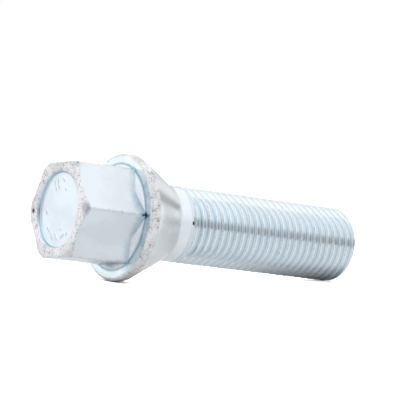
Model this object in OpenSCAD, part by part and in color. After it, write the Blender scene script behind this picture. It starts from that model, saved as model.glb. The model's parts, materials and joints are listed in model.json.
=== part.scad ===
// Wheel bolt with a cone seat, cold-forged in one piece, with a rolled thread.
// It stands on its head: the head's end face is at z = 0 and the thread points up.

/* [Thread] */
// Thread diameter over the crests
thread_d = 14; // [12:0.5:16]
// Thread pitch
pitch = 1.5; // [1:0.25:2]
// Depth of the thread groove as a share of the pitch
groove_share = 0.6134; // [0.5:0.01:0.65]
// Length from the small end of the cone seat to the tip
shank_len = 41; // [26:0.5:60]
// Length of shank without thread behind the cone seat
plain_len = 2.6; // [1.8:0.1:6]
// How far the shank without thread lies below the crests
neck_step = 0.1; // [0.05:0.05:0.8]
// Radius of the rounded edge at the tip
tip_edge = 2.5; // [1:0.1:4]

/* [Head] */
// Wrench size across the flats of the hexagon
hex_af = 17; // [15:0.5:19]
// Diameter that the hexagon's corners are rounded to
corner_d = 19.4; // [18:0.1:19.6]
// Length of the head from its end face to the flange
head_h = 12.4; // [9:0.1:20]
// Radius of the rounded edge between the corners and the end face
end_edge = 0.9; // [0.5:0.1:1.8]
// Diameter of the shallow dish in the end face
dish_d = 13.8; // [8:0.1:15]
// Depth of the dish
dish_depth = 0.65; // [0.3:0.05:2]
// Draft of the dish wall, as the gap that it adds at the rim
dish_draft = 0.25; // [0:0.05:0.6]
// Radius of the hollow blend between the flats and the flange
flat_blend = 1.1; // [0.8:0.1:1.8]

/* [Flange and seat] */
// Diameter of the flange
flange_d = 23; // [22:0.1:26]
// Thickness of the flange at its rim
flange_t = 1.7; // [1.5:0.1:4]
// Radius of the flange's edge towards the head
face_edge = 0.5; // [0.2:0.05:0.8]
// Radius of the flange's edge towards the cone
seat_edge = 0.6; // [0.2:0.05:0.8]
// Full angle of the cone seat
seat_angle = 60; // [56:1:70]
// Radius of the hollow blend between the cone and the shank
neck_blend = 0.5; // [0.3:0.1:1.5]

/* [Hidden] */
$fn = 96;
// Straight faces in one turn of the thread groove
TURN_STEPS = 24;
// How far a cutting shape reaches past the face that it cuts
PAST = 0.11;
// Share of the groove's depth at which it starts
FADE_START = 0.15;

thread_r = thread_d / 2;
neck_r = thread_r - neck_step;
flange_r = flange_d / 2;
half_angle = seat_angle / 2;

// Heights of the main faces above the end of the head
rim_back_z = head_h + flange_t;
cone_end_z = rim_back_z + (flange_r - thread_r) / tan(half_angle);
tip_z = cone_end_z + shank_len;
thread_z = cone_end_z + plain_len;

// Height at which the centre of a circle lies a given distance outside the cone's line
function beside_cone(r, distance) =
    cone_end_z + (distance - (r - thread_r) * cos(half_angle)) / sin(half_angle);

seat_edge_r = flange_r - seat_edge;
seat_edge_z = beside_cone(seat_edge_r, -seat_edge);
neck_blend_r = neck_r + neck_blend;
neck_blend_z = beside_cone(neck_blend_r, neck_blend);
tip_edge_r = thread_r - tip_edge;
tip_edge_z = tip_z - tip_edge;

groove_depth = groove_share * pitch;
groove_root = pitch / 4;
groove_mouth = pitch * 7 / 8;
groove_slope = (groove_mouth - groove_root) / 2 / groove_depth;

// Outline of everything that is round, from the flange's face to the tip
module round_outline() {
    difference() {
        union() {
            polygon([
                [0, head_h],
                [flange_r - face_edge, head_h],
                [flange_r, head_h + face_edge],
                [flange_r, seat_edge_z],
                [seat_edge_r + seat_edge * cos(half_angle), seat_edge_z + seat_edge * sin(half_angle)],
                [neck_blend_r - neck_blend * cos(half_angle), neck_blend_z - neck_blend * sin(half_angle)],
                [neck_blend_r, neck_blend_z - neck_blend],
                [neck_blend_r, neck_blend_z],
                [neck_r, neck_blend_z],
                [neck_r, thread_z],
                [thread_r, thread_z + neck_step],
                [thread_r, tip_edge_z],
                [tip_edge_r, tip_z],
                [0, tip_z]
            ]);
            translate([flange_r - face_edge, head_h + face_edge]) circle(r = face_edge);
            translate([seat_edge_r, seat_edge_z]) circle(r = seat_edge);
            translate([tip_edge_r, tip_edge_z]) circle(r = tip_edge);
        }
        translate([neck_blend_r, neck_blend_z]) circle(r = neck_blend);
    }
}

// Hexagon with rounded corners, a rounded end and a dish
module hex_head() {
    difference() {
        intersection() {
            cylinder(d = hex_af / cos(30), h = head_h + PAST, $fn = 6);
            rotate_extrude() head_outline();
        }
        translate([0, 0, -PAST]) cylinder(d = dish_d, h = PAST);
        cylinder(d1 = dish_d, d2 = dish_d - 2 * dish_draft, h = dish_depth);
    }
}

// Outline that rounds the head's end and its corners
module head_outline() {
    corner_r = corner_d / 2;
    end_r = corner_r - end_edge;
    translate([0, end_edge]) square([corner_r, head_h + PAST - end_edge]);
    square([end_r, 2 * end_edge]);
    intersection() {
        translate([end_r, end_edge]) circle(r = end_edge);
        square([corner_r, 2 * end_edge]);
    }
}

// Hollow blend that carries the flats out to a circle on the flange's face
module flat_blend_ring() {
    blend_r = hex_af / 2 + flat_blend;
    rotate_extrude() difference() {
        translate([0, head_h - flat_blend]) square([blend_r, flat_blend + PAST]);
        translate([blend_r, head_h - flat_blend]) circle(r = flat_blend);
    }
}

// Four corners of the groove's section at one step along the helix, from root to mouth and back
function groove_section(step) =
    let (
        turn = step / TURN_STEPS,
        z = thread_z + turn * pitch,
        depth = groove_depth * max(FADE_START, min(1, turn)),
        root_half = groove_root / 2,
        mouth_half = root_half + (depth + PAST) * groove_slope
    )
    [
        for (corner = [
            [thread_r - depth, -root_half], [thread_r + PAST, -mouth_half],
            [thread_r + PAST, mouth_half], [thread_r - depth, root_half]
        ])
        [corner[0] * cos(360 * turn), corner[0] * sin(360 * turn), z + corner[1]]
    ];

// Right-hand groove that the thread rolling leaves, which fades in over its first turn
module thread_groove() {
    steps = ceil((tip_z - thread_z + pitch) / pitch * TURN_STEPS);
    points = [for (step = [0 : steps]) each groove_section(step)];
    last = 4 * steps;
    walls = [
        for (step = [0 : steps - 1], side = [0 : 3])
        let (a = 4 * step + side, b = 4 * step + (side + 1) % 4)
        each [[a, b + 4, a + 4], [a, b, b + 4]]
    ];
    polyhedron(points, concat([[3, 2, 1, 0]], walls, [[last, last + 1, last + 2, last + 3]]), convexity = 10);
}

module wheel_bolt() {
    color("lightsteelblue")
    union() {
        hex_head();
        flat_blend_ring();
        difference() {
            rotate_extrude() round_outline();
            thread_groove();
        }
    }
}

wheel_bolt();
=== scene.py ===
# %% [markdown]
# A wheel bolt is forged cold from one piece of wire. A press upsets the head, the flange and
# the cone seat, two dies roll the thread, and a drum plates a whole batch with bright zinc.
# So the bolt is one skin with no joints, and its story is told by the finish of each zone:
# smooth flats, knocked edges, a plain seat and a rolled thread.

# %% Load the frame
import json
import math

import bmesh
import bpy
import numpy as np
from mathutils import Matrix, Vector, noise


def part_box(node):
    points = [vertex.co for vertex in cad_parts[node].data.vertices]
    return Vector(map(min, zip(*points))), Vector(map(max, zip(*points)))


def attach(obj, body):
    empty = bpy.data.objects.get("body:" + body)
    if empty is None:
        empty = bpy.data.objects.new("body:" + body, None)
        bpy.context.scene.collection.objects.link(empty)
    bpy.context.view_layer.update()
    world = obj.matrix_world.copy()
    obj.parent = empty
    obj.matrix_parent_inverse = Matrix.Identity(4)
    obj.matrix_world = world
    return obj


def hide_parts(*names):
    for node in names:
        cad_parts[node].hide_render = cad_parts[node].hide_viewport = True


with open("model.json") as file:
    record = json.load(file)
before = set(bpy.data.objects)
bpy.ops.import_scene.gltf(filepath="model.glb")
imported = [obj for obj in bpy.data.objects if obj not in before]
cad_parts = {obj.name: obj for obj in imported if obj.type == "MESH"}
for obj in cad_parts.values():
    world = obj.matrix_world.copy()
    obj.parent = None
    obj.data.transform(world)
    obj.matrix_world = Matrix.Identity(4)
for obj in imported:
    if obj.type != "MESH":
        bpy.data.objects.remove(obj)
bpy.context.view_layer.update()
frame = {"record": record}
MM = 0.001

# %% [markdown]
# The sizes come first. The overall ones are read from the frame, so the skin always fits the
# solid below it. The rest are the forging's own sizes in millimetres, as on a drawing.

# %% Sizes of the bolt
low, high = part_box("wheel_bolt")
mounts = {mount["name"]: mount for mount in frame["record"]["mounts"]}
FLANGE_R = (high.x - low.x) / 2 / MM
TIP_Z = high.z / MM
THREAD_R = mounts["thread"]["dims"]["r_mm"]
PITCH = 1.5
GROOVE_SHARE = 0.6134
SHANK_LEN = 41
PLAIN_LEN = 2.6
NECK_STEP = 0.1
TIP_EDGE = 2.5
HEX_HALF = 8.5
CORNER_R = 9.7
HEAD_H = 12.4
END_EDGE = 0.9
DISH_R = 6.9
DISH_DEPTH = 0.65
DISH_DRAFT = 0.25
FLAT_BLEND = 1.1
FACE_EDGE = 0.5
SEAT_EDGE = 0.6
SEAT_HALF = math.radians(30)
NECK_BLEND = 0.5

NECK_R = THREAD_R - NECK_STEP
GROOVE_DEPTH = GROOVE_SHARE * PITCH
CONE_END_Z = TIP_Z - SHANK_LEN
THREAD_Z = CONE_END_Z + PLAIN_LEN
print("cone ends at", round(CONE_END_Z, 2), "and the thread starts at", round(THREAD_Z, 2))

# %% [markdown]
# The whole bolt can be drawn as rings stacked along its axis, like a turned part, if each ring
# may change its radius round the turn. A hexagon is then a ring too: its radius rises towards
# each corner. One stack of rings gives one closed skin with even faces, which a boolean of a
# prism and a cylinder doesn't. The head needs more sides than the thread, because its knocks
# and dents are small.

# %% Angles of a ring
HEAD_SIDES = 240
THREAD_SIDES = HEAD_SIDES // 2
FULL_TURN = 2 * math.pi
RIGHT_ANGLE = math.radians(90)
HEX_SIDE = math.radians(60)
HALF_HEX_SIDE = math.radians(30)
HEAD_ANGLES = np.arange(HEAD_SIDES) * FULL_TURN / HEAD_SIDES
THREAD_ANGLES = HEAD_ANGLES[::2]


def hexagon_radius(angles):
    """Radius of the hexagon at each angle, with its corners rounded off."""
    from_flat = (angles % HEX_SIDE) - HALF_HEX_SIDE
    return np.minimum(HEX_HALF / np.cos(from_flat), CORNER_R)


HEX = hexagon_radius(HEAD_ANGLES)
print("hexagon radius from", round(HEX.min(), 2), "to", round(HEX.max(), 2), "mm")

# %% [markdown]
# Each ring remembers the zone of the strip that it ends, because every zone gets its own finish.
# Three small helpers put rings on the stack: one ring, a straight line of them or an arc.

# %% The stack of rings
ZONES = ["dish", "tumbled", "flats", "land", "seat", "neck", "thread"]
DISH, TUMBLED, FLATS, LAND, SEAT, NECK, THREAD = range(len(ZONES))
rings = []


def add_ring(radius, height, zone):
    """Put one ring on the stack, with one radius and height or one for each angle."""
    every_side = np.ones(HEAD_SIDES)
    rings.append((radius * every_side, height * every_side, zone))


def add_line(start, end, count, zone):
    """Rings along a straight line of the outline, without its first point."""
    for share in np.linspace(0, 1, count + 1)[1:]:
        radius = start[0] + (end[0] - start[0]) * share
        add_ring(radius, start[1] + (end[1] - start[1]) * share, zone)


def add_arc(centre, radius, start, end, count, zone):
    """Rings along an arc of the outline, with angles from the radial direction to the tip."""
    for share in np.linspace(0, 1, count + 1)[1:]:
        angle = start + (end - start) * share
        across, along = radius * np.cos(angle), radius * np.sin(angle)
        add_ring(centre[0] + across, centre[1] + along, zone)


print("zones:", ZONES)

# %% [markdown]
# The end of the head is a shallow dish inside a flat ring. The ring and the edge outside it are
# knocked rough, because bolts tumble against each other in the plating drum. The rounded edge
# is an arc that stops where it meets the hexagon, so it is long at a corner and almost nothing
# in the middle of a flat. That is what draws the curved tops of the flats. At their other end a
# hollow blend carries the flats out to a circle.

# %% Rings of the head
# Radius of the first ring, which a fan of triangles closes towards the axis
FIRST_R = 0.14
BLEND_RINGS = 7
dish_floor_r = DISH_R - DISH_DRAFT
end_r = CORNER_R - END_EDGE
blend_r = HEX_HALF + FLAT_BLEND
blend_z = HEAD_H - FLAT_BLEND

add_ring(FIRST_R, DISH_DEPTH, DISH)
add_line((FIRST_R, DISH_DEPTH), (dish_floor_r, DISH_DEPTH), count=46, zone=DISH)
add_line((dish_floor_r, DISH_DEPTH), (DISH_R, 0), count=5, zone=DISH)
ring_r = np.minimum(end_r, HEX)
add_line((DISH_R, 0), (ring_r, 0), count=9, zone=TUMBLED)
edge_end = np.arcsin(np.clip((HEX - end_r) / END_EDGE, 0, 1)) - RIGHT_ANGLE
add_arc((ring_r, END_EDGE), END_EDGE, -RIGHT_ANGLE, edge_end, count=8, zone=TUMBLED)
flat_start = rings[-1][1]
blend_start = -np.arccos(np.clip((blend_r - HEX) / FLAT_BLEND, 0, 1))
flat_end = blend_z - FLAT_BLEND * np.sin(blend_start)
add_line((HEX, flat_start), (HEX, flat_end), count=38, zone=FLATS)
for share in np.linspace(0, 1, BLEND_RINGS + 1)[1:]:
    angle = blend_start + (-RIGHT_ANGLE - blend_start) * share
    outside_hexagon = np.maximum(blend_r - FLAT_BLEND * np.cos(angle), HEX)
    add_ring(outside_hexagon, blend_z - FLAT_BLEND * np.sin(angle), FLATS)
print("rings so far:", len(rings))

# %% [markdown]
# From here the bolt is round. The two edges of the flange and the hollow blend behind the cone
# are arcs that have to touch the cone's line exactly. A circle touches a line when its centre
# lies one radius away from it, and that gives each centre's height.

# %% Rings of the flange, the seat and the neck
# How far the first row of the thread lies before its start, and its gap to the neck's last ring
FOOT_AHEAD = 0.1
STITCH_GAP = 0.25


def beside_cone(radius, distance):
    """Height of a circle's centre that lies this far outside the cone's line."""
    sideways = (radius - THREAD_R) * math.cos(SEAT_HALF)
    return CONE_END_Z + (distance - sideways) / math.sin(SEAT_HALF)


def on_arc(centre, radius):
    """Point where an arc beside the cone touches the cone's line."""
    return (centre[0] + radius * math.cos(SEAT_HALF), centre[1] + radius * math.sin(SEAT_HALF))


rim_foot = (FLANGE_R - FACE_EDGE, HEAD_H + FACE_EDGE)
rim_top = (FLANGE_R - SEAT_EDGE, beside_cone(FLANGE_R - SEAT_EDGE, -SEAT_EDGE))
neck_arc = (NECK_R + NECK_BLEND, beside_cone(NECK_R + NECK_BLEND, NECK_BLEND))
thread_foot_z = THREAD_Z - FOOT_AHEAD

add_line((rings[-1][0], HEAD_H), (rim_foot[0], HEAD_H), count=8, zone=LAND)
add_arc(rim_foot, FACE_EDGE, -RIGHT_ANGLE, 0, count=5, zone=TUMBLED)
add_line((FLANGE_R, rim_foot[1]), (FLANGE_R, rim_top[1]), count=6, zone=TUMBLED)
add_arc(rim_top, SEAT_EDGE, 0, SEAT_HALF, count=3, zone=TUMBLED)
add_line(on_arc(rim_top, SEAT_EDGE), on_arc(neck_arc, -NECK_BLEND), count=34, zone=SEAT)
add_arc(neck_arc, -NECK_BLEND, SEAT_HALF, 0, count=4, zone=SEAT)
add_line((NECK_R, neck_arc[1]), (NECK_R, thread_foot_z - STITCH_GAP), count=8, zone=NECK)
print("rings up to the thread:", len(rings))

# %% [markdown]
# A rolled thread is a ramp wound round the shank. If the rows of the mesh climb one pitch per
# turn, each row stays on its own place of the tooth, so crests and roots stay crisp with few
# faces. A boolean with a helical cutter would make the thread too, but it leaves long thin faces
# that no dent can bend. At the tip the rows follow the rounded edge, and rows that would run
# past either end of the thread are held at that end.

# %% Rows of the thread
# Places across one pitch, from one groove over the crest in the middle to the next groove
ROW_PLACES = [
    0.05, 0.115, 0.15, 0.24, 0.33, 0.41, 0.44,
    0.5,
    0.56, 0.59, 0.67, 0.76, 0.85, 0.885, 0.95
]
# Half of the crest and one flank, as shares of the pitch
CREST_SHARE = 1 / 16
FLANK_SHARE = 5 / 16
# How round the crests and the roots are, as a share of the flank
SOFTNESS = 0.16
# Climb over which the crests rise from the neck
CREST_RUN_UP = 0.4
tip_edge_z = TIP_Z - TIP_EDGE
tip_flat_r = THREAD_R - TIP_EDGE
last_climb = tip_edge_z + TIP_EDGE * RIGHT_ANGLE


def soft_clamp(value):
    """Hold a value between 0 and 1 with rounded corners."""
    below = np.sqrt(value**2 + SOFTNESS**2)
    above = np.sqrt((value - 1) ** 2 + SOFTNESS**2)
    return (below - above + 1) / 2


def thread_row(place, climb):
    """Radius and height at a place across the tooth, after a climb along the outline."""
    from_crest = abs(place - 0.5)
    depth = soft_clamp((from_crest - CREST_SHARE) / FLANK_SHARE) * GROOVE_DEPTH
    run_in = np.clip((climb - thread_foot_z) / PITCH, 0, 1)
    run_up = np.clip((climb - thread_foot_z) / CREST_RUN_UP, 0, 1)
    crest = NECK_R + (THREAD_R - NECK_R) * run_up
    round_tip = np.clip((climb - tip_edge_z) / TIP_EDGE, 0, RIGHT_ANGLE)
    edge_r = tip_flat_r + TIP_EDGE * np.cos(round_tip)
    height = np.minimum(climb, tip_edge_z) + TIP_EDGE * np.sin(round_tip)
    return np.minimum(crest - depth * run_in, edge_r), height


# One turn more at each end, so that the sloping rows cover the whole length
turns = math.ceil((last_climb - thread_foot_z) / PITCH) + 2
thread_rows = []
for turn in range(turns):
    for place in ROW_PLACES:
        climb = thread_foot_z + PITCH * (turn - 1 + place + THREAD_ANGLES / FULL_TURN)
        thread_rows.append(thread_row(place, np.clip(climb, thread_foot_z, last_climb)))
print("thread rows:", len(thread_rows), "over", turns, "turns")

# %% [markdown]
# Now the rings become a mesh. Rings join straight across, and the thread's rows join with a
# shift of one pitch where the turn closes, which is the helix. A mesh needs only a list of
# points and a list of faces that name their corners, so a few small helpers fill both.

# %% Helpers for points and faces
points, faces, face_zones = [], [], []


def add_points(radius, height, angles):
    """Add one ring of points and give the number of its first point."""
    first = len(points)
    ring = [radius * np.cos(angles), radius * np.sin(angles), height + 0 * angles]
    points.extend(np.stack(ring, axis=1).tolist())
    return first


def add_face(corners, zone):
    """Add one face and remember its zone."""
    faces.append(corners)
    face_zones.append(zone)


def join(lower, upper, sides, zone, shift=0):
    """Quads between two rings, with a shift where the turn closes, or none there."""
    for side in range(sides):
        after, hop = (side + 1, 0) if side + 1 < sides else (0, shift)
        if hop is not None:
            corners = (upper + side, lower + side, lower + after + hop, upper + after + hop)
            add_face(corners, zone)


def add_cap(height, zone, ring_start, sides):
    """Close a ring with a fan to a point on the axis."""
    middle = len(points)
    points.append((0, 0, height))
    for side in range(sides):
        add_face((middle, ring_start + side, ring_start + (side + 1) % sides), zone)


starts = [add_points(radius, height, HEAD_ANGLES) for radius, height, _ in rings]
for index in range(1, len(rings)):
    join(starts[index - 1], starts[index], HEAD_SIDES, rings[index][2])
add_cap(DISH_DEPTH, DISH, starts[0], HEAD_SIDES)
print("points of the head and the seat:", len(points))

# %% [markdown]
# Rows of the thread that were held at an end lie on top of each other there, so they are merged
# afterwards. Between the neck and the thread a row of triangles halves the number of sides, and
# one more triangle fills the small step where the helix starts. Smaller and smaller rings close
# the tip.

# %% Faces of the thread and the tip
TIP_SHARES = (1, 0.96, 0.88, 0.7, 0.5, 0.3, 0.1)
row_starts = [add_points(radius, height, THREAD_ANGLES) for radius, height in thread_rows]
one_pitch = len(ROW_PLACES) * THREAD_SIDES
for index in range(1, len(thread_rows)):
    still_inside = row_starts[index] + one_pitch < len(points)
    shift = one_pitch if still_inside else None
    join(row_starts[index - 1], row_starts[index], THREAD_SIDES, THREAD, shift)

for side in range(THREAD_SIDES):
    neck = starts[-1] + 2 * side
    neck_after = starts[-1] + (2 * side + 2) % HEAD_SIDES
    foot = row_starts[0] + side
    foot_after = row_starts[0] + (side + 1) % THREAD_SIDES
    add_face((neck, neck + 1, foot), THREAD)
    add_face((neck + 1, foot_after, foot), THREAD)
    add_face((neck + 1, neck_after, foot_after), THREAD)
last_foot = row_starts[0] + THREAD_SIDES - 1
add_face((last_foot, row_starts[0], row_starts[0] + one_pitch), THREAD)

tip_starts = [add_points(tip_flat_r * share, TIP_Z, THREAD_ANGLES) for share in TIP_SHARES]
for outer, inner in zip([row_starts[-1]] + tip_starts, tip_starts):
    join(outer, inner, THREAD_SIDES, TUMBLED)
add_cap(TIP_Z, TUMBLED, tip_starts[-1], THREAD_SIDES)
print("points:", len(points), "faces:", len(faces))

# %% [markdown]
# Merging by distance joins the thread to the neck and the tip. Real forgings have no knife
# edges, so the points from the head up to the neck are then drawn towards their neighbours,
# which rounds every edge there by about a tenth of a millimetre and leaves flat areas flat. The
# thread has its roundness already.

# %% Merge and soften
MERGE_WITHIN = 0.002
SLIVER = 0.001
SOFT_END_Z = CONE_END_Z + 1
SOFT_PASSES = 2
SOFT_PULL = 0.5
bolt_mesh = bpy.data.meshes.new("bolt_skin")
bolt_mesh.from_pydata(points, [], faces)
bolt_mesh.polygons.foreach_set("material_index", face_zones)
skin = bmesh.new()
skin.from_mesh(bolt_mesh)
bmesh.ops.remove_doubles(skin, verts=skin.verts, dist=MERGE_WITHIN)
bmesh.ops.dissolve_degenerate(skin, dist=SLIVER, edges=skin.edges)
bmesh.ops.recalc_face_normals(skin, faces=skin.faces)
soft = [v for v in skin.verts if v.co.z < SOFT_END_Z]
every_axis = dict(use_axis_x=True, use_axis_y=True, use_axis_z=True)
for _ in range(SOFT_PASSES):
    bmesh.ops.smooth_vert(skin, verts=soft, factor=SOFT_PULL, **every_axis)
open_edges = [e for e in skin.edges if not e.is_manifold]
print("points:", len(skin.verts), "faces:", len(skin.faces), "open edges:", len(open_edges))

# %% [markdown]
# The dish carries a few raised strokes and dots, as a die leaves them, that say nothing. Each
# one is a line from one point to another, and its height falls off with the distance from it.

# %% Die strokes in the dish
STROKE_WIDTH = 0.2
# Above 1, the strokes get flat tops and steep sides
STROKE_STEEPNESS = 1.6
DIE_STROKES = [
    ((-2.1, -5.0), (-1.6, -3.6)), ((-1.2, -5.4), (-0.7, -3.9)), ((0.6, -5.5), (0.9, -5.1)),
    ((1.5, -3.6), (1.6, -3.5)), ((-4.3, 0.1), (-4.1, 0.5)), ((-3.6, 3.1), (-3.1, 3.6)),
    ((-2.4, 4.0), (-1.8, 5.1)), ((-1.0, 4.2), (-0.4, 5.2)), ((0.7, 3.4), (0.8, 3.5)),
    ((1.0, 4.9), (1.9, 4.4)), ((2.7, 4.4), (2.9, 4.1))
]


def stroke_share(x, y, wider=0):
    """1 on a stroke of the dish, 0 away from it, and a slope between them."""
    best = 0
    for (ax, ay), (bx, by) in DIE_STROKES:
        along = Vector((bx - ax, by - ay))
        off = Vector((x - ax, y - ay))
        share = min(1, max(0, off.dot(along) / along.length_squared))
        gap = (off - along * share).length - wider
        best = max(best, 1 - gap / STROKE_WIDTH)
    return min(1, STROKE_STEEPNESS * best)


print("die strokes:", len(DIE_STROKES))

# %% [markdown]
# Two numbers at each point steer the finish and the painted shading later. The first, "knocked",
# is 1 where bolts hit each other in the drum: the ring round the dish, the rim and, more weakly,
# the tip, the thread's crests and the hexagon's edges. A painted image could carry it, but would
# need the bolt unwrapped. Here it comes from the bolt's own sizes, so it stays on the bolt
# whatever the light or the view. Each "rise" below says between which millimetres a mark fades
# in.

# %% How knocked each point is
TIP_KNOCK, CREST_KNOCK, EDGE_KNOCK = 0.8, 0.6, 0.5


def rise(value, start, end):
    """Smooth step from 0 at start to 1 at end, in either direction."""
    share = np.clip((value - start) / (end - start), 0, 1)
    return share * share * (3 - 2 * share)


place = np.array([v.co for v in skin.verts])
radius = np.hypot(place[:, 0], place[:, 1])
height = place[:, 2]
turn_angle = np.arctan2(place[:, 1], place[:, 0]) % FULL_TURN
hex_here = hexagon_radius(turn_angle)
# Angle to the nearest corner of the hexagon, in radians
to_corner = abs((turn_angle + HALF_HEX_SIDE) % HEX_SIDE - HALF_HEX_SIDE)

edge_z = np.interp(hex_here, [HEX_HALF, CORNER_R], [flat_start.min(), flat_start.max()])
head_end = rise(radius, DISH_R - 0.3, DISH_R + 0.1) * rise(height, edge_z + 0.5, edge_z - 0.1)
corner_edge = EDGE_KNOCK * rise(to_corner, 0.09, 0.02) * rise(height, HEAD_H, HEAD_H - 1)
corner_edge *= radius > HEX_HALF
rim = rise(radius, rim_foot[0] - 0.35, rim_foot[0] + 0.2)
rim *= rise(height, rim_top[1] + 0.8, rim_top[1] + 0.1)
crest = CREST_KNOCK * rise(radius, THREAD_R - 0.25, THREAD_R) * (height > thread_foot_z)
tip_end = TIP_KNOCK * rise(height, TIP_Z - 1, TIP_Z - 0.2)
knocked = np.maximum.reduce([head_end, corner_edge, rim, crest, tip_end])
print("knocked points:", int((knocked > 0.5).sum()))

# %% [markdown]
# The second number, the painted shading, is 1 where shade is painted into a corner, such as the
# foot of the dish's wall, the neck's blend or the line where the blend meets the land, and in the
# thread's roots, where a lighter tone is painted in place of light. A painted shadow rings each
# die stroke, and painted shade covers the land on the side towards the camera. Above 1 it turns
# into
# dark painted shade: shadows at the corners and where the thread starts, and a dark reflection in
# a spot on the ring.

# %% Painted shading at each point
# How strong the painted shading is at each place: painted shade in corners, a lighter tone
# painted for light in the thread's roots, and above 1 dark painted shadow
ROOT_LIGHT_PAINT, CREASE_SHADE_PAINT, LAND_SHADE_PAINT, NECK_SHADE_PAINT, STROKE_SHADOW_PAINT = 0.9, 0.85, 0.62, 0.5, 0.75
THREAD_START_SHADOW, CORNER_STAR_SHADOW, SPOT_DARK_REFLECTION, CORNER_TIP_SHADE = 1.35, 1.35, 1.3, 0.8
SPOT_X = -8.0
STROKE_SHADOW_REACH = 0.06

# Painted light in the roots of the thread, a painted shadow at the start of its groove on the
# side of the first corner, towards the camera, and painted shade in the neck's blend
in_thread = (height > THREAD_Z) & (height < TIP_Z - 0.3)
root = ROOT_LIGHT_PAINT * rise(radius, THREAD_R - 0.1, THREAD_R - 0.5) * in_thread
first_side = rise(abs(place[:, 1]), 0.65, 0.25) * (place[:, 0] > 0)
at_the_foot = rise(abs(height - thread_foot_z - 0.15), 0.4, 0.15)
thread_start = THREAD_START_SHADOW * first_side * at_the_foot * (radius < THREAD_R + 0.1)
neck_corner = NECK_SHADE_PAINT * rise(abs(height - neck_arc[1]), 0.5, 0) * (radius < NECK_R + 0.4)

# Painted shade at the foot of the dish's wall, in the crease round the land, and on the land
# itself near the first corner, on the side towards the camera
dish_wall = rise(abs(radius - dish_floor_r), 0.2, 0.05) * (height < DISH_DEPTH + 0.1)
by_the_land = rise(height, HEAD_H - 0.35, HEAD_H - 0.1) * (height < HEAD_H + 0.3)
crease = CREASE_SHADE_PAINT * by_the_land * rise(abs(radius - blend_r), 0.4, 0.1)
near_land = LAND_SHADE_PAINT * by_the_land * rise(np.cos(turn_angle), 0.7, 0.87)
near_land *= rise(radius, blend_r, blend_r + 0.2)
near_land *= rise(radius, rim_foot[0] + 0.15, rim_foot[0] - 0.1)

# Painted shadow stars at the feet of the corners and painted shade on the tips at their ends,
# both strongest on the side towards the camera
one_side = np.clip(0.4 + 0.6 * np.cos(turn_angle), 0.3, 1)
up_the_edge = rise(to_corner, 0.05, 0.01) * rise(height, HEAD_H - 1.3, HEAD_H - 0.4)
round_the_land = rise(to_corner, 0.13, 0.03) * by_the_land
corner_star = CORNER_STAR_SHADOW * np.maximum(up_the_edge, round_the_land)
corner_star *= rise(radius, CORNER_R + 0.5, CORNER_R + 0.2)
corner_star *= one_side * (height < HEAD_H + 0.3)
corner_tip = CORNER_TIP_SHADE * rise(to_corner, 0.28, 0.04) * rise(radius, 7.3, 8.9)
corner_tip *= rise(height, 1.4, 0.7) * one_side
# A dark spot on the far side of the ring: a painted dark reflection
far_spot = SPOT_DARK_REFLECTION * rise(np.hypot(place[:, 0] - SPOT_X, place[:, 1]), 0.9, 0.2)
far_spot *= height < 0.5

# A painted shadow round each die stroke on the dish's floor
on_the_floor = (height > DISH_DEPTH - 0.1) * (height < 1)
by_a_stroke = np.array([stroke_share(x, y, STROKE_SHADOW_REACH) for x, y in place[:, :2]])
by_a_stroke *= STROKE_SHADOW_PAINT * on_the_floor
hollow = np.maximum.reduce([
    root, thread_start, neck_corner, dish_wall, crease, near_land,
    corner_star, corner_tip, far_spot, by_a_stroke
])
print("hollow points:", int((hollow > 0.5).sum()))

# %% [markdown]
# The knocks are real dents, so they are cut into the mesh, where a relief in the material alone
# would leave the outline perfect. Noise gives the broad ones, and the distance to scattered
# points gives pits. The flats get a faint waviness, because a press doesn't leave them truly
# flat, and the die strokes rise from the dish's floor.

# %% Dents, waves and die strokes
STROKE_HEIGHT = 0.12
# Scale per millimetre and depth in millimetres of each kind of dent
BROAD_SCALE, BROAD_DEPTH = 1.1, 0.05
FINE_SCALE, FINE_DEPTH = 2.7, 0.03
PIT_SCALE, PIT_DEPTH, PIT_REACH = 1.5, 0.06, 0.3
WAVE_SCALE, WAVE_DEPTH = 0.3, 0.012
# Distance from the foot of the dish's wall that stays free of strokes
FREE_OF_STROKES = 0.3


def dent_depth(spot, share):
    """Depth of the drum's knocks at a spot, where share says how knocked it is."""
    broad = abs(noise.noise(spot * BROAD_SCALE))
    fine = abs(noise.noise(spot * FINE_SCALE))
    pit = max(0, PIT_REACH - noise.voronoi(spot * PIT_SCALE)[0][0]) / PIT_REACH
    return share * (BROAD_DEPTH * broad + FINE_DEPTH * fine + PIT_DEPTH * pit)


skin.normal_update()
deepest = 0
for vert, share, from_axis in zip(skin.verts, knocked, radius):
    spot = vert.co.copy()
    move = -dent_depth(spot, share)
    if spot.z < HEAD_H and from_axis > DISH_R:
        move -= WAVE_DEPTH * abs(noise.noise(spot * WAVE_SCALE))
    if spot.z < DISH_DEPTH + 0.1 and from_axis < dish_floor_r - FREE_OF_STROKES:
        move += STROKE_HEIGHT * stroke_share(spot.x, spot.y)
    deepest = min(deepest, move)
    vert.co = spot + vert.normal * move
print("deepest dent:", round(-deepest, 3), "mm")

# %% [markdown]
# The finished skin is scaled to metres, gets its two numbers as attributes, and takes the
# place of the forged solid.

# %% The bolt's skin as an object
skin.to_mesh(bolt_mesh)
skin.free()
bolt_mesh.transform(Matrix.Scale(MM, 4))
bolt_mesh.shade_smooth()
for name, values in (("knocked", knocked), ("hollow", hollow)):
    attribute = bolt_mesh.attributes.new(name, "FLOAT", "POINT")
    attribute.data.foreach_set("value", values.astype(np.float32))
bolt = bpy.data.objects.new("bolt_skin", bolt_mesh)
bpy.context.collection.objects.link(bolt)
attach(bolt, "root")
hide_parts("wheel_bolt")
triangles = sum(len(face.vertices) - 2 for face in bolt_mesh.polygons)
print("triangles in the skin:", triangles)

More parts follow.
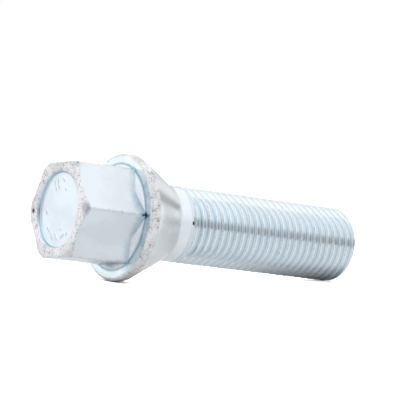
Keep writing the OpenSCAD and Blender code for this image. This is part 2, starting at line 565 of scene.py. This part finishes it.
# %% [markdown]
# The effects that all zones share are node groups. A small helper makes a group with named
# inputs and outputs, and another one adds a node and fills its sockets, so that each effect
# below reads like a recipe.

# %% Helpers for nodes


def new_group(name, inputs, outputs):
    """A shader node group with named sockets, and its input and output nodes."""
    group = bpy.data.node_groups.new(name, "ShaderNodeTree")
    for socket_name, kind, default in inputs:
        socket = group.interface.new_socket(name=socket_name, in_out="INPUT", socket_type=kind)
        socket.default_value = default
    for socket_name, kind in outputs:
        group.interface.new_socket(name=socket_name, in_out="OUTPUT", socket_type=kind)
    return group, group.nodes.new("NodeGroupInput"), group.nodes.new("NodeGroupOutput")


def fill(tree, socket, value):
    """Link an output to a socket, or set the socket to a plain value."""
    if isinstance(value, bpy.types.NodeSocket):
        tree.links.new(value, socket)
    else:
        socket.default_value = value


def add_node(tree, kind, settings=(), **sockets):
    """Add a node, with settings by name and sockets by name."""
    node = tree.nodes.new("ShaderNode" + kind)
    for name, value in dict(settings).items():
        setattr(node, name, value)
    for name, value in sockets.items():
        wanted = name.replace("_", " ")
        fill(tree, next(s for s in node.inputs if s.name == wanted and s.enabled), value)
    return node


def calculate(tree, operation, *values):
    """One step of arithmetic, and its output socket."""
    node = add_node(tree, "Math", {"operation": operation})
    for socket, value in zip(node.inputs, values):
        fill(tree, socket, value)
    return node.outputs[0]


print("node helpers ready")

# %% [markdown]
# Four more helpers stand for steps that come back in every effect: to mix two colours, to carry
# a value smoothly from one range to another, to make a noise that stays on the bolt, and to turn
# that noise, which runs from 0 to 1, into a push up or down.

# %% Helpers for effects


def blend_colours(tree, share, first, second):
    """Mix two colours by a share, and give the output socket."""
    mix = add_node(tree, "Mix", {"data_type": "RGBA"}, Factor=share, A=first, B=second)
    return next(s for s in mix.outputs if s.type == "RGBA")


def stretch(tree, value, start, end, low_value=0, high_value=1):
    """Carry a value smoothly from one range to another, and give the output socket."""
    node = add_node(tree, "MapRange", {"interpolation_type": "SMOOTHSTEP"}, Value=value)
    for name, number in zip(("From Min", "From Max"), (start, end)):
        fill(tree, node.inputs[name], number)
    for name, number in zip(("To Min", "To Max"), (low_value, high_value)):
        fill(tree, node.inputs[name], number)
    return node.outputs["Result"]


def push(tree, fac, amount):
    """Turn a noise into a push of half the amount up or down."""
    return calculate(tree, "MULTIPLY_ADD", fac, amount, -amount / 2)


def add_noise(tree, scale, detail, **sockets):
    """Noise that stays on the bolt, with its scale per metre, and its output socket."""
    coords = add_node(tree, "TexCoord").outputs["Object"]
    made = add_node(tree, "TexNoise", Vector=coords, Scale=scale, Detail=detail, **sockets)
    return made.outputs["Fac"]


print("effect helpers ready")

# %% [markdown]
# Zinc never plates in one even tone. The bath leaves clouds a few millimetres wide, bluer here
# and greyer there, with a finer mottle in them. Two noises mixed give that.

# %% Group: zinc tone
COLOUR, NUMBER = "NodeSocketColor", "NodeSocketFloat"
MOTTLE = 0.12
zinc_tone, given, result = new_group(
    "zinc_tone",
    [
        ("Light Zinc", COLOUR, (0.66, 0.72, 0.78, 1)),
        ("Deep Zinc", COLOUR, (0.55, 0.62, 0.68, 1)),
        ("Cloud Scale", NUMBER, 180),
        ("Mottle Scale", NUMBER, 1400),
    ],
    [("Color", COLOUR), ("Cloud", NUMBER)],
)
cloud = add_noise(zinc_tone, given.outputs["Cloud Scale"], detail=3)
mottle = add_noise(zinc_tone, given.outputs["Mottle Scale"], detail=2)
mixed = calculate(zinc_tone, "ADD", cloud, push(zinc_tone, mottle, MOTTLE))
cloud_share = stretch(zinc_tone, mixed, start=0.36, end=0.64)
light_zinc, deep_zinc = given.outputs["Light Zinc"], given.outputs["Deep Zinc"]
tone = blend_colours(zinc_tone, cloud_share, deep_zinc, light_zinc)
zinc_tone.links.new(tone, result.inputs["Color"])
zinc_tone.links.new(cloud_share, result.inputs["Cloud"])
print("group:", zinc_tone.name)

# %% [markdown]
# Where the drum knocked the bolt, the zinc is full of tiny pits that look like pepper, some
# denser and some sparser. The group reads the "knocked" attribute and breaks its edge up with
# noise, so that the rough band never ends in a clean line. It also gives the height of a fine
# grain with the pits cut into it.

# %% Group: drum marks
RAGGEDNESS = 0.8
PATCHINESS = 0.4
drum_marks, given, result = new_group(
    "drum_marks",
    [("Pit Scale", NUMBER, 2600), ("Pit Start", NUMBER, 0.52)],
    [("Rough Band", NUMBER), ("Pits", NUMBER), ("Height", NUMBER)],
)
knock = add_node(drum_marks, "Attribute", {"attribute_name": "knocked"}).outputs["Fac"]
ragged = calculate(drum_marks, "MULTIPLY", add_noise(drum_marks, 1900, detail=3), RAGGEDNESS)
band = stretch(drum_marks, calculate(drum_marks, "ADD", knock, ragged), start=0.72, end=1.05)
pepper = add_noise(drum_marks, given.outputs["Pit Scale"], detail=3, Distortion=1.2)
patches = push(drum_marks, add_noise(drum_marks, 500, detail=2), PATCHINESS)
patchy = calculate(drum_marks, "ADD", pepper, patches)
peppered = stretch(drum_marks, patchy, start=given.outputs["Pit Start"], end=0.72)
grain = add_noise(drum_marks, 4200, detail=3)
pits = calculate(drum_marks, "MULTIPLY", peppered, band)
cut_grain = calculate(drum_marks, "SUBTRACT", grain, peppered)
drum_marks.links.new(band, result.inputs["Rough Band"])
drum_marks.links.new(pits, result.inputs["Pits"])
drum_marks.links.new(calculate(drum_marks, "MULTIPLY", cut_grain, band), result.inputs["Height"])
print("group:", drum_marks.name)

# %% [markdown]
# The group turns the painted shading attribute into a mask with a ragged edge, which paints shade
# into the corners and light into the thread's roots. Beyond 1 the attribute gives the second
# mask, for dark painted shadow.

# %% Group: painted shading
UNEVENNESS = 0.4
hollow_film, given, result = new_group(
    "hollow_film",
    [("Start", NUMBER, 0.35), ("Full", NUMBER, 0.95)],
    [("Film", NUMBER), ("Grime", NUMBER)],
)
depth = add_node(hollow_film, "Attribute", {"attribute_name": "hollow"}).outputs["Fac"]
uneven = push(hollow_film, add_noise(hollow_film, 1100, detail=2), UNEVENNESS)
uneven_depth = calculate(hollow_film, "ADD", depth, uneven)
mask = stretch(hollow_film, uneven_depth, given.outputs["Start"], given.outputs["Full"])
painted_shadow = stretch(hollow_film, uneven_depth, start=1.0, end=1.25)
hollow_film.links.new(mask, result.inputs["Film"])
hollow_film.links.new(painted_shadow, result.inputs["Grime"])
print("group:", hollow_film.name)

# %% [markdown]
# Each zone is the same zinc with its own numbers: two tones, the tone painted into its hollows as
# shade (lighter in the thread's roots, as painted light), how rough it is and how deep its grain
# lies. A table of those numbers and one loop make the seven materials. They are fully metallic,
# so a zone's colour tints what it mirrors.

# %% The zinc of each zone
FINISHES = {
    "dish": dict(
        light=(0.71, 0.78, 0.84), deep=(0.67, 0.74, 0.80), film=(0.36, 0.52, 0.60),
        rough=0.26, grain=0.01
    ),
    "tumbled": dict(
        light=(0.81, 0.82, 0.84), deep=(0.69, 0.70, 0.72), film=(0.45, 0.42, 0.45),
        rough=0.38, grain=0.12
    ),
    "flats": dict(
        light=(0.68, 0.73, 0.78), deep=(0.63, 0.68, 0.73), film=(0.26, 0.42, 0.50),
        rough=0.24, grain=0.01
    ),
    "land": dict(
        light=(0.80, 0.88, 0.90), deep=(0.70, 0.79, 0.83), film=(0.28, 0.44, 0.52),
        rough=0.26, grain=0.03
    ),
    "seat": dict(
        light=(0.81, 0.84, 0.86), deep=(0.67, 0.71, 0.73), film=(0.45, 0.51, 0.54),
        rough=0.2, grain=0.03
    ),
    "neck": dict(
        light=(0.73, 0.78, 0.82), deep=(0.69, 0.74, 0.78), film=(0.45, 0.51, 0.54),
        rough=0.14, grain=0.02
    ),
    "thread": dict(
        light=(0.64, 0.70, 0.74), deep=(0.60, 0.66, 0.71), film=(0.73, 0.82, 0.88),
        rough=0.12, grain=0.03
    ),
}
PIT_COLOUR = (0.35, 0.33, 0.34, 1)
# Colour of the dark painted shadow
PAINTED_SHADOW_COLOUR = (0.03, 0.03, 0.035, 1)
# How much rougher the deep clouds and the knocked bands are
CLOUD_ROUGHNESS, BAND_ROUGHNESS = 0.05, 0.1
MARK_RELIEF, RELIEF_REACH = 0.35, 0.1 * MM


def add_group(tree, group, **sockets):
    """Place a group in a material and set its inputs."""
    node = tree.nodes.new("ShaderNodeGroup")
    node.node_tree = group
    for name, value in sockets.items():
        fill(tree, node.inputs[name.replace("_", " ")], value)
    return node


for zone in ZONES:
    finish = FINISHES[zone]
    light, deep, film = ((*finish[name], 1) for name in ("light", "deep", "film"))
    zinc = bpy.data.materials.new("zinc_" + zone)
    zinc.use_nodes = True
    tree = zinc.node_tree
    shader = tree.nodes["Principled BSDF"]
    shader.inputs["Metallic"].default_value = 1

    toned = add_group(tree, zinc_tone, Light_Zinc=light, Deep_Zinc=deep)
    marks = add_group(tree, drum_marks)
    shading_paint = add_group(tree, hollow_film)
    # Painted shade, and painted light in the thread's roots, then dark painted shadow
    shade_painted = blend_colours(tree, shading_paint.outputs["Film"], toned.outputs["Color"], film)
    shadow_painted = blend_colours(tree, shading_paint.outputs["Grime"], shade_painted, PAINTED_SHADOW_COLOUR)
    pitted = blend_colours(tree, marks.outputs["Pits"], shadow_painted, PIT_COLOUR)
    tree.links.new(pitted, shader.inputs["Base Color"])

    deep_rough = finish["rough"] + CLOUD_ROUGHNESS
    cloudy = stretch(tree, toned.outputs["Cloud"], 0, 1, deep_rough, finish["rough"])
    rougher = calculate(tree, "MULTIPLY", marks.outputs["Rough Band"], BAND_ROUGHNESS)
    tree.links.new(calculate(tree, "ADD", cloudy, rougher), shader.inputs["Roughness"])

    fine = calculate(tree, "MULTIPLY", add_noise(tree, 2400, detail=3), finish["grain"])
    marked = calculate(tree, "MULTIPLY", marks.outputs["Height"], MARK_RELIEF)
    relief = calculate(tree, "ADD", fine, marked)
    bump = add_node(tree, "Bump", Strength=1, Distance=RELIEF_REACH, Height=relief)
    tree.links.new(bump.outputs["Normal"], shader.inputs["Normal"])
    bolt_mesh.materials.append(zinc)
print("materials:", [zinc.name for zinc in bolt_mesh.materials])

# %% [markdown]
# The camera looks at the bolt from the head's side. The bolt's axis leans away from the camera
# and runs a little down to the right. The picture is turned so that the bolt lies on its flange
# and its tip, as it would on a table. The bolt itself stays upright at the origin, where the
# part's frame has it, so it is the camera that is turned.

# %% Camera
# How far the bolt's axis turns away from the picture and down in it, and its first corner
AXIS_AWAY = math.radians(34.485)
AXIS_DOWN = math.radians(7.836)
CORNER_TURN = math.radians(-6.348)
# Place of the head's end from the camera in millimetres: right, down and away
HEAD_PLACE = Vector((-25.151, 1.613, 409.248))
PICTURE_WIDTH = 400
FOCAL_PIXELS = 2330.567
SENSOR_WIDTH = 36

# Directions of the bolt in the camera's own axes: right, down and away
cos_away, sin_away = math.cos(AXIS_AWAY), math.sin(AXIS_AWAY)
cos_down, sin_down = math.cos(AXIS_DOWN), math.sin(AXIS_DOWN)
axis = Vector((cos_away * cos_down, cos_away * sin_down, sin_away))
facing = Vector((sin_away * cos_down, sin_away * sin_down, -cos_away))
corner = facing * math.cos(CORNER_TURN) + axis.cross(facing) * math.sin(CORNER_TURN)
to_bolt = Matrix((corner, axis.cross(corner), axis))
camera_place = -(to_bolt @ HEAD_PLACE) * MM
right, up, back = (to_bolt @ Vector(v) for v in ((1, 0, 0), (0, -1, 0), (0, 0, -1)))

camera_data = bpy.data.cameras.new("camera")
camera_data.sensor_width = SENSOR_WIDTH
camera_data.lens = FOCAL_PIXELS / PICTURE_WIDTH * SENSOR_WIDTH
camera = bpy.data.objects.new("camera", camera_data)
bpy.context.collection.objects.link(camera)
turned = Matrix((right, up, back)).transposed().to_4x4()
camera.matrix_world = Matrix.Translation(camera_place) @ turned
bpy.context.scene.camera = camera
print("camera at", [round(v, 3) for v in camera_place], "lens", round(camera_data.lens, 1), "mm")

# %% [markdown]
# A lying bolt rests on two rounded edges: the flange's and the tip's. The table is the plane
# that touches both, like a ruler laid on two circles. Its normal has to make two known angles:
# one with the bolt's axis, because the flange is wider than the tip, and one with the view,
# because the camera looks a little down. Two such angles and the unit length fix a direction.

# %% Place of the table
LOOK_DOWN = math.radians(3)
bolt_axis = Vector((0, 0, 1))
inward, along_bolt = rim_top[0] - tip_flat_r, tip_edge_z - rim_top[1]
touch = math.acos((TIP_EDGE - SEAT_EDGE) / math.hypot(inward, along_bolt))
lean = touch - math.atan2(along_bolt, inward)
on_axis, on_back, overlap = -math.sin(lean), math.sin(LOOK_DOWN), bolt_axis.dot(back)
share_axis = (on_axis - overlap * on_back) / (1 - overlap**2)
share_back = (on_back - overlap * on_axis) / (1 - overlap**2)
in_plane = bolt_axis * share_axis + back * share_back
third = bolt_axis.cross(back).normalized()
if third.dot(up) < 0:
    third = -third
table_up = in_plane + third * math.sqrt(1 - in_plane.length_squared)
outward = (bolt_axis * table_up.dot(bolt_axis) - table_up).normalized()
rest_r = rim_top[0] + SEAT_EDGE * math.cos(lean)
rest_z = rim_top[1] + SEAT_EDGE * math.sin(lean)
contact = (bolt_axis * rest_z + outward * rest_r) * MM
lean_degrees = round(math.degrees(lean), 2)
print("table's normal", [round(v, 3) for v in table_up], "lean", lean_degrees, "degrees")

# %% [markdown]
# The table itself is one large square round the point where the flange touches it.

# %% Table
TABLE_HALF = 2.0
along = table_up.orthogonal().normalized()
aside = table_up.cross(along)
corners = [
    contact + along * a * TABLE_HALF + aside * b * TABLE_HALF
    for a, b in ((-1, -1), (1, -1), (1, 1), (-1, 1))
]
table_mesh = bpy.data.meshes.new("table")
table_mesh.from_pydata(corners, [], [(0, 1, 2, 3)])
table = bpy.data.objects.new("table", table_mesh)
bpy.context.collection.objects.link(table)
print("table", 2 * TABLE_HALF, "m wide")

# %% [markdown]
# The table is plain and white. Its matte part takes the bolt's shadow, and a glow on top keeps
# it white in the picture and in the zinc, without more light on the bolt. The glow fades where
# the bolt is close, which paints contact shade, so the two places that the bolt lies on stay
# dark.
# The table shows only its upper side, so that a view from below still sees the bolt.

# %% The table's white
TABLE_GREY = (0.5, 0.5, 0.5, 1)
# Strength of the glow for the mirror image, and what the camera's own view adds to it
MIRROR_GLOW, CAMERA_GLOW = 0.6, 1.2
# How near the bolt has to be for each glow to fade, which paints contact shade
MIRROR_CLOSE, CAMERA_CLOSE = 3.2 * MM, 1.2 * MM


def seen_by_eye(tree):
    """1 for what the camera, the zinc's mirror image and glass see, and 0 for plain light."""
    rays = tree.nodes.new("ShaderNodeLightPath")
    eye = calculate(tree, "MAXIMUM", rays.outputs["Is Camera Ray"], rays.outputs["Is Glossy Ray"])
    return calculate(tree, "MAXIMUM", eye, rays.outputs["Is Transmission Ray"])


def fading_glow(tree, ray, strength, close):
    """Glow for some rays that fades where something is close."""
    openness = add_node(tree, "AmbientOcclusion", Distance=close).outputs["AO"]
    return calculate(tree, "MULTIPLY", calculate(tree, "MULTIPLY", ray, strength), openness)


table_white = bpy.data.materials.new("table_white")
table_white.use_nodes = True
tree = table_white.node_tree
tree.nodes.clear()
is_camera = tree.nodes.new("ShaderNodeLightPath").outputs["Is Camera Ray"]
mirror_part = fading_glow(tree, seen_by_eye(tree), MIRROR_GLOW, MIRROR_CLOSE)
camera_part = fading_glow(tree, is_camera, CAMERA_GLOW, CAMERA_CLOSE)
glow = add_node(tree, "Emission", Strength=calculate(tree, "ADD", mirror_part, camera_part))
matte = add_node(tree, "BsdfDiffuse", Color=TABLE_GREY)
both = tree.nodes.new("ShaderNodeAddShader")
clear = tree.nodes.new("ShaderNodeBsdfTransparent")
one_sided = tree.nodes.new("ShaderNodeMixShader")
is_below = tree.nodes.new("ShaderNodeNewGeometry").outputs["Backfacing"]
table_out = tree.nodes.new("ShaderNodeOutputMaterial")
tree.links.new(matte.outputs[0], both.inputs[0])
tree.links.new(glow.outputs[0], both.inputs[1])
tree.links.new(is_below, one_sided.inputs[0])
tree.links.new(both.outputs[0], one_sided.inputs[1])
tree.links.new(clear.outputs[0], one_sided.inputs[2])
tree.links.new(one_sided.outputs[0], table_out.inputs["Surface"])
table_mesh.materials.append(table_white)
print("table's material:", table_white.name)

# %% [markdown]
# Bright metal shows the room and little else. So the room is a white one with a large bright
# ceiling and a bright wall on the left. To make parts of it darker or brighter, each part needs
# a mask by direction: how far a direction of the room turns towards an aim. The aims are fixed
# in the room.

# %% Directions of the room
world = bpy.data.worlds.new("white_room")
bpy.context.scene.world = world
world.use_nodes = True
tree = world.node_tree
tree.nodes.clear()
direction = add_node(tree, "TexCoord").outputs["Generated"]


def towards(aim):
    """Cosine between a direction of the room and an aim."""
    node = tree.nodes.new("ShaderNodeVectorMath")
    node.operation = "DOT_PRODUCT"
    tree.links.new(direction, node.inputs[0])
    node.inputs[1].default_value = aim
    return node.outputs["Value"]


def round_patch(aim, outer, inner):
    """Mask that starts at an outer angle from an aim and is full at an inner one, in degrees."""
    start, end = math.cos(math.radians(outer)), math.cos(math.radians(inner))
    return stretch(tree, towards(aim.normalized()), start, end)


print("world:", world.name)

# %% [markdown]
# A little above the camera and a little to its right, a dark gap lies between two white panels.
# Every round edge that turns past it mirrors it, which draws the short dark marks along the
# thread. A small dark patch behind the bolt does the same on the cone, and two weak shades tone
# down what faces the camera or the far wall. Only mirror rays see these dark parts. The eye sees
# plain white behind the bolt, and the light for matte things is weaker and even.

# %% The white room
CEILING, LEFT_WALL = 0.25, 0.25
CEILING_START, CEILING_FULL = 0.0, 0.6
WALL_START, WALL_FULL = 0.55, 0.9
FRONT_GAP, FRONT_SHADE, BACK_GAP, FAR_SHADE = 0.52, 0.25, 0.9, 0.3
GAP_RISE, GAP_OUTER, GAP_INNER = 0.12, math.sin(math.radians(18)), math.sin(math.radians(7))
# The gap in front lies to the right of the camera, and the one behind to the right of the bolt
GAP_AIM = back * 0.94 + right * 0.34
BACK_GAP_AIM = right * 0.66 + up * 0.18 - back * 0.73
PLAIN_LIGHT = 0.3

ceiling = stretch(tree, towards(table_up), CEILING_START, CEILING_FULL, 0, CEILING)
left_wall = stretch(tree, towards(-right), WALL_START, WALL_FULL, 0, LEFT_WALL)
room = calculate(tree, "ADD", calculate(tree, "ADD", ceiling, left_wall), 1)
off_level = calculate(tree, "ABSOLUTE", calculate(tree, "SUBTRACT", towards(up), GAP_RISE))
level = stretch(tree, off_level, GAP_OUTER, GAP_INNER)
front_gap = calculate(tree, "MULTIPLY", level, round_patch(GAP_AIM, outer=50, inner=30))
is_mirror = tree.nodes.new("ShaderNodeLightPath").outputs["Is Glossy Ray"]
for shade, depth in (
    (front_gap, FRONT_GAP),
    (round_patch(back, outer=65, inner=25), FRONT_SHADE),
    (round_patch(BACK_GAP_AIM, outer=6, inner=3), BACK_GAP),
    (round_patch(-back, outer=35, inner=12), FAR_SHADE),
):
    dark = calculate(tree, "MULTIPLY", calculate(tree, "MULTIPLY", shade, is_mirror), depth)
    room = calculate(tree, "MULTIPLY", room, calculate(tree, "SUBTRACT", 1, dark))
by_ray = dict(Factor=seen_by_eye(tree), A=PLAIN_LIGHT, B=room)
strength = add_node(tree, "Mix", {"data_type": "FLOAT"}, **by_ray)
white = add_node(tree, "Background", Color=(1, 1, 1, 1), Strength=strength.outputs["Result"])
world_out = tree.nodes.new("ShaderNodeOutputWorld")
tree.links.new(white.outputs[0], world_out.inputs["Surface"])
print("room built, light for matte things", PLAIN_LIGHT)

# %% [markdown]
# A wide soft sun from above and in front gives the bolt's shadow a direction. A sun lights the
# whole table alike, so the table stays evenly white up to its far edge, which a lamp near the
# bolt can't do. Mirror rays don't see it, because bright metal would show it as a hard spot.

# %% Soft sun
SUN_STRENGTH = 1.8
SUN_WIDTH = math.radians(70)
soft_sun = bpy.data.lights.new("soft_sun", "SUN")
soft_sun.energy = SUN_STRENGTH
soft_sun.angle = SUN_WIDTH
lamp = bpy.data.objects.new("soft_sun", soft_sun)
bpy.context.collection.objects.link(lamp)
# Direction to the sun, with shares of up, towards the camera and left
from_sun = (table_up * 0.75 + back * 0.55 - right * 0.3).normalized()
lamp.rotation_mode = "QUATERNION"
lamp.rotation_quaternion = (-from_sun).to_track_quat("-Z", "Y")
lamp.location = from_sun
lamp.visible_glossy = False
bpy.context.scene.view_settings.view_transform = "Standard"
sun_height = round(math.degrees(math.asin(from_sun.dot(table_up))))
print("sun's height above the table:", sun_height, "degrees")
